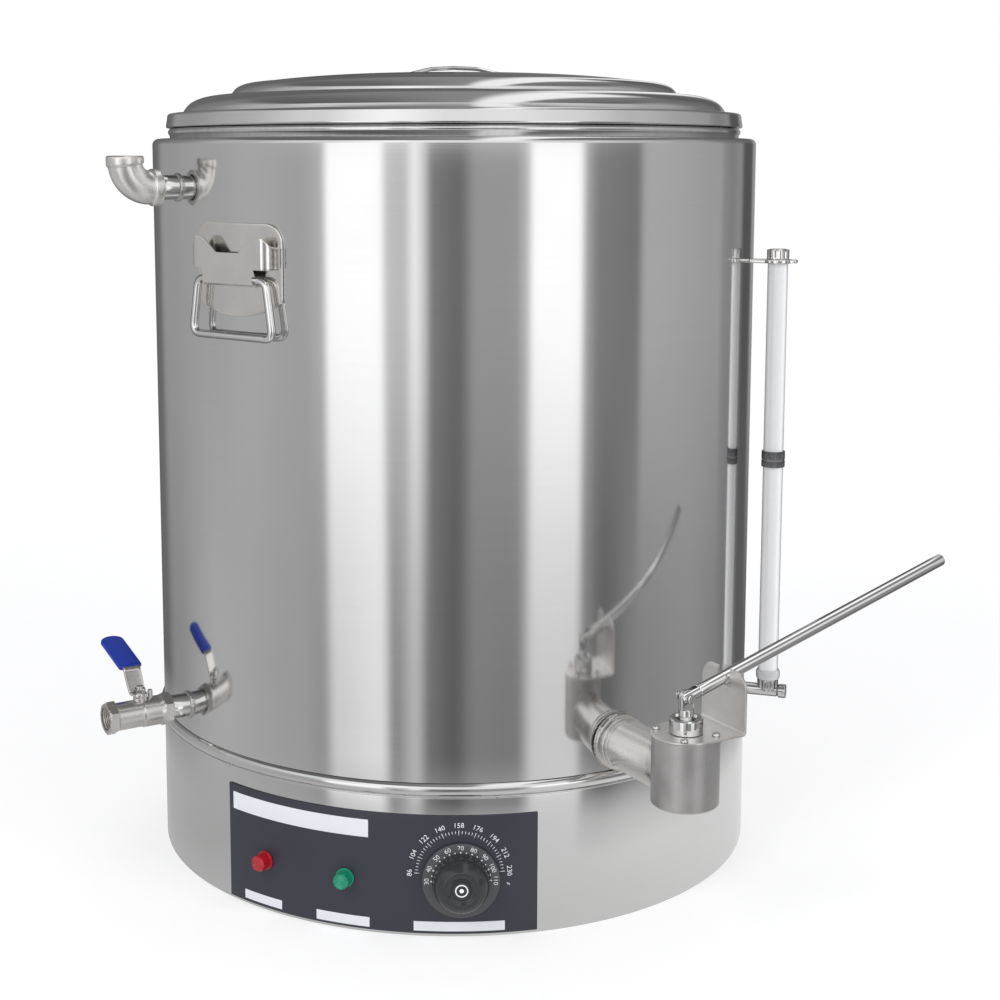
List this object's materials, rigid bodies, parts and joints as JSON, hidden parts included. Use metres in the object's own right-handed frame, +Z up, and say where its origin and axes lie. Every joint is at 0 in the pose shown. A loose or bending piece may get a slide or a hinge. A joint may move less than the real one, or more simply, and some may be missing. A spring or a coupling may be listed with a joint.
{
  "type": "heated honey bottling tank",
  "caption": "Round double-wall steel tank with water jacket, electric base, lid, side gauge, fill elbow, drain valve and spring-loaded honey gate.",
  "frame": {"origin": "centre of the tank's underside, in the plane it stands on", "axes": "+Z up along the tank's axis, -Y towards the front with the temperature dial, +X to the side of the level gauge"},
  "size_m": [0.657, 0.5805, 0.6471],
  "materials": {
    "polished_steel": "polished",
    "brushed_steel": "satin",
    "cast_steel": "blasted",
    "dark_chrome": "polished, knurled",
    "brass": "polished",
    "blue_vinyl": "dipped vinyl",
    "grey_panel": "matt film",
    "black_plastic": "moulded",
    "red_lens": "clear moulded",
    "green_lens": "clear moulded",
    "clear_tube": "clear plastic",
    "pale_plastic": "moulded"
  },
  "bodies": {
    "tank": {"outer_shell": "polished_steel", "inner_pot": "polished_steel", "jacket_floor": "brushed_steel", "joint_bead": "polished_steel", "base_skirt": "polished_steel", "base_cover": "brushed_steel", "base_screw_1": "brushed_steel", "base_screw_2": "brushed_steel", "base_screw_3": "brushed_steel", "base_screw_4": "brushed_steel", "heating_element": "brushed_steel", "terminal_block": "pale_plastic", "cable_gland": "black_plastic", "control_panel": "grey_panel", "power_lamp": "red_lens", "working_lamp": "green_lens", "dial_bezel": "black_plastic", "thermostat_body": "pale_plastic", "left_handle_plate": "polished_steel", "left_handle_bracket": "polished_steel", "right_handle_plate": "polished_steel", "right_handle_bracket": "polished_steel", "fill_nipple": "cast_steel", "fill_elbow": "cast_steel", "drain_nipple": "cast_steel", "drain_valve_body": "cast_steel", "drain_seat_outer": "pale_plastic", "drain_seat_inner": "pale_plastic", "gate_outlet_pipe": "brushed_steel", "gate_body": "brushed_steel", "gate_plate": "brushed_steel", "gate_guide_boss": "brushed_steel", "gate_spring": "brushed_steel", "gate_screw_1": "brushed_steel", "gate_screw_2": "brushed_steel", "gate_screw_3": "brushed_steel", "gate_screw_4": "brushed_steel", "gauge_pipe": "cast_steel", "gauge_bracket": "polished_steel", "gauge_nut": "cast_steel", "gauge_collar": "clear_tube", "gauge_tube_lower": "clear_tube", "gauge_tube_upper": "clear_tube", "gauge_coupling": "dark_chrome", "gauge_cap": "brass"},
    "lid": {"lid": "polished_steel", "lid_handle": "polished_steel"},
    "left_bail": {"left_handle_bail": "polished_steel"},
    "right_bail": {"right_handle_bail": "polished_steel"},
    "drain_handle": {"drain_lever": "brushed_steel", "drain_lever_sleeve": "blue_vinyl", "drain_stem": "brushed_steel", "drain_stem_nut": "brushed_steel", "drain_ball": "polished_steel"},
    "gate_plunger": {"gate_plunger": "brushed_steel", "gate_seal": "pale_plastic", "gate_plunger_rod": "polished_steel"},
    "gate_lever": {"gate_lever": "polished_steel", "gate_lever_pin": "polished_steel"},
    "thermostat_knob": {"thermostat_knob": "black_plastic"}
  },
  "joints": [
    {"name": "lid_lift", "type": "slide", "parent": "tank", "child": "lid", "axis": [0, 0, 1], "range_m": [0, 0.15]},
    {"name": "left_bail_swing", "type": "hinge", "parent": "tank", "child": "left_bail", "pos_m": [-0.1637, -0.19578, 0.4825], "axis": [-0.7672, 0.6414, 0], "range_deg": [0, 95]},
    {"name": "right_bail_swing", "type": "hinge", "parent": "tank", "child": "right_bail", "pos_m": [0.1637, 0.19578, 0.4825], "axis": [0.7672, -0.6414, 0], "range_deg": [0, 95]},
    {"name": "drain_valve_turn", "type": "hinge", "parent": "tank", "child": "drain_handle", "pos_m": [-0.24636, -0.15394, 0.1395], "axis": [0, 0, 1], "range_deg": [0, 90]},
    {"name": "gate_plunger_lift", "type": "slide", "parent": "tank", "child": "gate_plunger", "axis": [0, 0, 1], "range_m": [0, 0.022], "stiffness_N_per_m": 600, "springref_m": -0.02, "deforming": ["gate_spring"]},
    {"name": "gate_lever_swing", "type": "hinge", "parent": "gate_plunger", "child": "gate_lever", "pos_m": [0.16296, -0.2904, 0.1962], "axis": [-0.4894, 0.8721, 0], "range_deg": [0, 35.8]},
    {"name": "thermostat_turn", "type": "hinge", "parent": "tank", "child": "thermostat_knob", "pos_m": [0.0053, -0.262, 0.0445], "axis": [0.0201, -0.9998, 0], "range_deg": [-75, 75]}
  ],
  "couplings": [
    {"joint": "gate_lever_swing", "follows": "gate_plunger_lift", "rad_per_m": 28.4}
  ]
}
